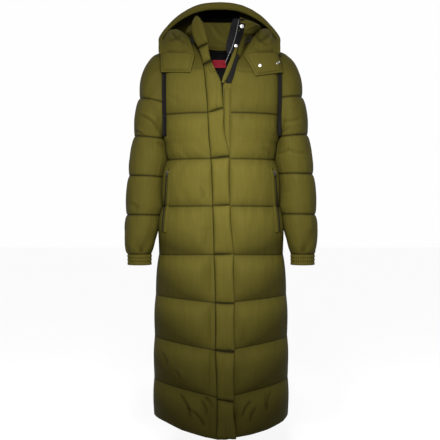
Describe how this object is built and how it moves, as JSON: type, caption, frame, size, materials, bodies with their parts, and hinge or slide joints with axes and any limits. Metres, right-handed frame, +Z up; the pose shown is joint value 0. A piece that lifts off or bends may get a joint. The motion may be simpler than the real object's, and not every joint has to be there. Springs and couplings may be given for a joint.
{
  "type": "long puffer coat",
  "caption": "Ankle-length quilted puffer coat with storm flap, stand collar, open hood, set-in sleeves and zipped hand pockets, in its worn form with no wearer.",
  "frame": {"origin": "on the wearer's shoulder line, midway between the shoulders, where the wearer carries the coat", "axes": "+Z up along the coat, -Y out of its front, +X towards the wearer's left"},
  "size_m": [0.604, 0.3692, 1.3447],
  "materials": {
    "shell_cloth": "olive green woven nylon with a soft sheen",
    "lining_cloth": "smooth black lining",
    "zip_tape": "matte black woven tape",
    "dark_metal": "dark satin enamel",
    "snap_metal": "polished nickel",
    "label_cloth": "plain woven label"
  },
  "bodies": {
    "coat": {"front_right": "shell_cloth", "front_left": "shell_cloth", "back": "shell_cloth", "sleeve_right": "shell_cloth", "sleeve_left": "shell_cloth", "cuff_right": "shell_cloth", "cuff_left": "shell_cloth", "collar": "shell_cloth", "placket": "shell_cloth", "under_placket": "shell_cloth", "hood_side_right": "shell_cloth", "hood_side_left": "shell_cloth", "hood_centre": "shell_cloth", "hood_rim": "shell_cloth", "hood_tab_right": "shell_cloth", "hood_tab_left": "shell_cloth", "wind_guard": "shell_cloth", "pocket_welt_right": "shell_cloth", "pocket_welt_left": "shell_cloth", "collar_facing_left": "lining_cloth", "back_neck_facing": "lining_cloth", "zip_tape_right": "zip_tape", "zip_tape_left": "zip_tape", "open_zip_tape_left": "zip_tape", "armhole_tape_right": "zip_tape", "armhole_tape_left": "zip_tape", "pocket_zip_right": "zip_tape", "pocket_zip_left": "zip_tape", "zip_slider": "dark_metal", "pocket_slider_right": "dark_metal", "pocket_slider_left": "dark_metal", "hood_snap": "snap_metal", "hood_eyelet": "snap_metal", "guard_snap_upper": "snap_metal", "guard_snap_lower": "snap_metal", "neck_label": "label_cloth"},
    "zip_pull_tab": {"zip_pull": "dark_metal"},
    "pocket_pull_right_tab": {"pocket_pull_right": "dark_metal"},
    "pocket_pull_left_tab": {"pocket_pull_left": "dark_metal"}
  },
  "joints": [
    {"name": "zip_pull_swing", "type": "hinge", "parent": "coat", "child": "zip_pull_tab", "pos_m": [0, -0.12448, -0.09763], "axis": [-1, 0, 0], "range_deg": [0, 20]},
    {"name": "pocket_pull_right_swing", "type": "hinge", "parent": "coat", "child": "pocket_pull_right_tab", "pos_m": [-0.16461, -0.07754, -0.34445], "axis": [-0.6788, 0.7343, 0], "range_deg": [0, 120]},
    {"name": "pocket_pull_left_swing", "type": "hinge", "parent": "coat", "child": "pocket_pull_left_tab", "pos_m": [0.16461, -0.07754, -0.34445], "axis": [-0.6788, -0.7343, 0], "range_deg": [0, 120]}
  ]
}
